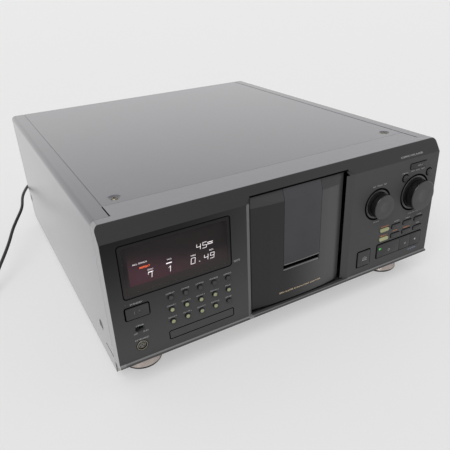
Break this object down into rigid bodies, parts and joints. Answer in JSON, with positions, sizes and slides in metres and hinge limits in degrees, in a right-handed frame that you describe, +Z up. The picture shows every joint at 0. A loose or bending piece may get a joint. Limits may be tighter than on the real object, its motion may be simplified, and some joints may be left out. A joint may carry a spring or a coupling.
{
  "type": "cd mega changer",
  "caption": "Large front-loading disc changer with a round disc carousel behind a swinging front door, two push dials, a display window and rows of small keys.",
  "frame": {"origin": "on the surface it stands on, under the middle of the machine without its mains lead", "axes": "+X to the machine's right as seen from the front, +Y towards the rear, +Z up"},
  "size_m": [0.6153, 0.543, 0.189],
  "materials": {
    "chassis_steel": "zinc plated",
    "rear_paint": "satin black",
    "cover_paint": "satin black",
    "panel_plastic": "satin black",
    "smoked_window": "smoked, clear",
    "circuit_board": "green resist",
    "foot_plastic": "black with a copper-coloured bevel",
    "screw_paint": "black",
    "transformer_core": "varnished laminations",
    "player_plastic": "moulded",
    "motor_steel": "plain",
    "socket_plastic": "pale gold shell",
    "jack_plastic": "black block",
    "cord_rubber": "matt black",
    "plug_rubber": "matt black",
    "carousel_plastic": "moulded dark grey",
    "gear_plastic": "natural white",
    "door_plastic": "satin black",
    "sled_plastic": "moulded",
    "turntable_plastic": "moulded",
    "shaft_plastic": "moulded",
    "dial_plastic": "black sides, grey face",
    "key_dark": "satin black",
    "key_yellow": "yellow-green"
  },
  "bodies": {
    "casing": {"chassis": "chassis_steel", "rear_panel": "rear_paint", "top_cover": "cover_paint", "front_panel": "panel_plastic", "display_window": "smoked_window", "circuit_boards": "circuit_board", "feet": "foot_plastic", "cover_screws": "screw_paint", "power_transformer": "transformer_core", "player_base": "player_plastic", "table_motor": "motor_steel", "keyboard_socket": "socket_plastic", "rear_jacks": "jack_plastic", "cord_strain_relief": "cord_rubber", "power_cord": "cord_rubber", "cord_coil": "cord_rubber", "power_plug": "plug_rubber"},
    "carousel": {"carousel": "carousel_plastic"},
    "drive_gear": {"table_drive_gear": "gear_plastic"},
    "door": {"front_door": "door_plastic", "door_window": "smoked_window"},
    "sled": {"laser_sled": "sled_plastic"},
    "turntable": {"disc_turntable": "turntable_plastic"},
    "lever": {"loading_lever": "gear_plastic"},
    "small_dial_shaft": {"small_dial_shaft": "shaft_plastic"},
    "small_dial": {"small_dial": "dial_plastic"},
    "large_dial_shaft": {"large_dial_shaft": "shaft_plastic"},
    "large_dial": {"large_dial": "dial_plastic"},
    "timer_switch": {"timer_switch": "key_dark"},
    "round_button_01": {"round_button_01": "key_dark"},
    "round_button_02": {"round_button_02": "key_dark"},
    "round_button_03": {"round_button_03": "key_dark"},
    "round_button_04": {"round_button_04": "key_dark"},
    "round_button_05": {"round_button_05": "key_dark"},
    "round_button_06": {"round_button_06": "key_yellow"},
    "round_button_07": {"round_button_07": "key_yellow"},
    "round_button_08": {"round_button_08": "key_yellow"},
    "round_button_09": {"round_button_09": "key_yellow"},
    "round_button_10": {"round_button_10": "key_yellow"},
    "round_button_11": {"round_button_11": "key_yellow"},
    "round_button_12": {"round_button_12": "key_yellow"},
    "round_button_13": {"round_button_13": "key_yellow"},
    "round_button_14": {"round_button_14": "key_yellow"},
    "round_button_15": {"round_button_15": "key_dark"},
    "oblong_key_1": {"oblong_key_1": "key_yellow"},
    "oblong_key_2": {"oblong_key_2": "key_dark"},
    "oblong_key_3": {"oblong_key_3": "key_dark"},
    "oblong_key_4": {"oblong_key_4": "key_dark"},
    "oblong_key_5": {"oblong_key_5": "key_yellow"},
    "oblong_key_6": {"oblong_key_6": "key_dark"},
    "oblong_key_7": {"oblong_key_7": "key_dark"},
    "oblong_key_8": {"oblong_key_8": "key_dark"},
    "small_round_key_1": {"small_round_key_1": "key_dark"},
    "small_round_key_2": {"small_round_key_2": "key_dark"},
    "power_button": {"power_button": "key_dark"},
    "open_close_key": {"open_close_key": "key_dark"},
    "upper_key": {"upper_key": "key_dark"},
    "play_key": {"play_key": "key_dark"},
    "pause_key": {"pause_key": "key_dark"},
    "stop_key": {"stop_key": "key_dark"}
  },
  "joints": [
    {"name": "carousel_spin", "type": "hinge", "parent": "casing", "child": "carousel", "pos_m": [0, -0.0081, 0.03], "axis": [0, 0, 1], "continuous": true},
    {"name": "drive_gear_spin", "type": "hinge", "parent": "casing", "child": "drive_gear", "pos_m": [-0.07025, 0.06215, 0.028], "axis": [0, 0, 1], "continuous": true},
    {"name": "door_swing", "type": "hinge", "parent": "casing", "child": "door", "pos_m": [0, -0.0081, 0.172], "axis": [0, 0, 1], "range_deg": [0, 34]},
    {"name": "sled_slide", "type": "slide", "parent": "casing", "child": "sled", "axis": [0, -1, 0], "range_m": [0, 0.033]},
    {"name": "turntable_spin", "type": "hinge", "parent": "casing", "child": "turntable", "pos_m": [-0.008, -0.0081, 0.0985], "axis": [1, 0, 0], "continuous": true},
    {"name": "lever_swing", "type": "hinge", "parent": "casing", "child": "lever", "pos_m": [0, 0.2109, 0.086], "axis": [1, 0, 0], "range_deg": [0, 60]},
    {"name": "timer_slide", "type": "slide", "parent": "casing", "child": "timer_switch", "axis": [1, 0, 0], "range_m": [0, 0.004]},
    {"name": "small_dial_push", "type": "slide", "parent": "casing", "child": "small_dial_shaft", "axis": [0, 1, 0], "range_m": [0, 0.0008], "stiffness_N_per_m": 1200},
    {"name": "small_dial_turn", "type": "hinge", "parent": "small_dial_shaft", "child": "small_dial", "pos_m": [0.1185, -0.2361, 0.1262], "axis": [0, 1, 0], "continuous": true},
    {"name": "large_dial_push", "type": "slide", "parent": "casing", "child": "large_dial_shaft", "axis": [0, 1, 0], "range_m": [0, 0.0008], "stiffness_N_per_m": 1200},
    {"name": "large_dial_turn", "type": "hinge", "parent": "large_dial_shaft", "child": "large_dial", "pos_m": [0.1796, -0.2361, 0.1267], "axis": [0, 1, 0], "continuous": true},
    {"name": "round_button_01_press", "type": "slide", "parent": "casing", "child": "round_button_01", "axis": [0, 1, 0], "range_m": [0, 0.0008], "stiffness_N_per_m": 300},
    {"name": "round_button_02_press", "type": "slide", "parent": "casing", "child": "round_button_02", "axis": [0, 1, 0], "range_m": [0, 0.0008], "stiffness_N_per_m": 300},
    {"name": "round_button_03_press", "type": "slide", "parent": "casing", "child": "round_button_03", "axis": [0, 1, 0], "range_m": [0, 0.0008], "stiffness_N_per_m": 300},
    {"name": "round_button_04_press", "type": "slide", "parent": "casing", "child": "round_button_04", "axis": [0, 1, 0], "range_m": [0, 0.0008], "stiffness_N_per_m": 300},
    {"name": "round_button_05_press", "type": "slide", "parent": "casing", "child": "round_button_05", "axis": [0, 1, 0], "range_m": [0, 0.0008], "stiffness_N_per_m": 300},
    {"name": "round_button_06_press", "type": "slide", "parent": "casing", "child": "round_button_06", "axis": [0, 1, 0], "range_m": [0, 0.0008], "stiffness_N_per_m": 300},
    {"name": "round_button_07_press", "type": "slide", "parent": "casing", "child": "round_button_07", "axis": [0, 1, 0], "range_m": [0, 0.0008], "stiffness_N_per_m": 300},
    {"name": "round_button_08_press", "type": "slide", "parent": "casing", "child": "round_button_08", "axis": [0, 1, 0], "range_m": [0, 0.0008], "stiffness_N_per_m": 300},
    {"name": "round_button_09_press", "type": "slide", "parent": "casing", "child": "round_button_09", "axis": [0, 1, 0], "range_m": [0, 0.0008], "stiffness_N_per_m": 300},
    {"name": "round_button_10_press", "type": "slide", "parent": "casing", "child": "round_button_10", "axis": [0, 1, 0], "range_m": [0, 0.0008], "stiffness_N_per_m": 300},
    {"name": "round_button_11_press", "type": "slide", "parent": "casing", "child": "round_button_11", "axis": [0, 1, 0], "range_m": [0, 0.0008], "stiffness_N_per_m": 300},
    {"name": "round_button_12_press", "type": "slide", "parent": "casing", "child": "round_button_12", "axis": [0, 1, 0], "range_m": [0, 0.0008], "stiffness_N_per_m": 300},
    {"name": "round_button_13_press", "type": "slide", "parent": "casing", "child": "round_button_13", "axis": [0, 1, 0], "range_m": [0, 0.0008], "stiffness_N_per_m": 300},
    {"name": "round_button_14_press", "type": "slide", "parent": "casing", "child": "round_button_14", "axis": [0, 1, 0], "range_m": [0, 0.0008], "stiffness_N_per_m": 300},
    {"name": "round_button_15_press", "type": "slide", "parent": "casing", "child": "round_button_15", "axis": [0, 1, 0], "range_m": [0, 0.0008], "stiffness_N_per_m": 300},
    {"name": "oblong_key_1_press", "type": "slide", "parent": "casing", "child": "oblong_key_1", "axis": [0, 1, 0], "range_m": [0, 0.0008], "stiffness_N_per_m": 300},
    {"name": "oblong_key_2_press", "type": "slide", "parent": "casing", "child": "oblong_key_2", "axis": [0, 1, 0], "range_m": [0, 0.0008], "stiffness_N_per_m": 300},
    {"name": "oblong_key_3_press", "type": "slide", "parent": "casing", "child": "oblong_key_3", "axis": [0, 1, 0], "range_m": [0, 0.0008], "stiffness_N_per_m": 300},
    {"name": "oblong_key_4_press", "type": "slide", "parent": "casing", "child": "oblong_key_4", "axis": [0, 1, 0], "range_m": [0, 0.0008], "stiffness_N_per_m": 300},
    {"name": "oblong_key_5_press", "type": "slide", "parent": "casing", "child": "oblong_key_5", "axis": [0, 1, 0], "range_m": [0, 0.0008], "stiffness_N_per_m": 300},
    {"name": "oblong_key_6_press", "type": "slide", "parent": "casing", "child": "oblong_key_6", "axis": [0, 1, 0], "range_m": [0, 0.0008], "stiffness_N_per_m": 300},
    {"name": "oblong_key_7_press", "type": "slide", "parent": "casing", "child": "oblong_key_7", "axis": [0, 1, 0], "range_m": [0, 0.0008], "stiffness_N_per_m": 300},
    {"name": "oblong_key_8_press", "type": "slide", "parent": "casing", "child": "oblong_key_8", "axis": [0, 1, 0], "range_m": [0, 0.0008], "stiffness_N_per_m": 300},
    {"name": "small_round_key_1_press", "type": "slide", "parent": "casing", "child": "small_round_key_1", "axis": [0, 1, 0], "range_m": [0, 0.0008], "stiffness_N_per_m": 300},
    {"name": "small_round_key_2_press", "type": "slide", "parent": "casing", "child": "small_round_key_2", "axis": [0, 1, 0], "range_m": [0, 0.0008], "stiffness_N_per_m": 300},
    {"name": "power_button_press", "type": "slide", "parent": "casing", "child": "power_button", "axis": [0, 1, 0], "range_m": [0, 0.0008], "stiffness_N_per_m": 300},
    {"name": "open_close_key_press", "type": "slide", "parent": "casing", "child": "open_close_key", "axis": [0, 1, 0], "range_m": [0, 0.0008], "stiffness_N_per_m": 300},
    {"name": "upper_key_press", "type": "slide", "parent": "casing", "child": "upper_key", "axis": [0, 1, 0], "range_m": [0, 0.0008], "stiffness_N_per_m": 300},
    {"name": "play_key_press", "type": "slide", "parent": "casing", "child": "play_key", "axis": [0, 1, 0], "range_m": [0, 0.0008], "stiffness_N_per_m": 300},
    {"name": "pause_key_press", "type": "slide", "parent": "casing", "child": "pause_key", "axis": [0, 1, 0], "range_m": [0, 0.0008], "stiffness_N_per_m": 300},
    {"name": "stop_key_press", "type": "slide", "parent": "casing", "child": "stop_key", "axis": [0, 1, 0], "range_m": [0, 0.0008], "stiffness_N_per_m": 300}
  ],
  "couplings": [
    {"joint": "drive_gear_spin", "follows": "carousel_spin", "ratio": -8}
  ]
}
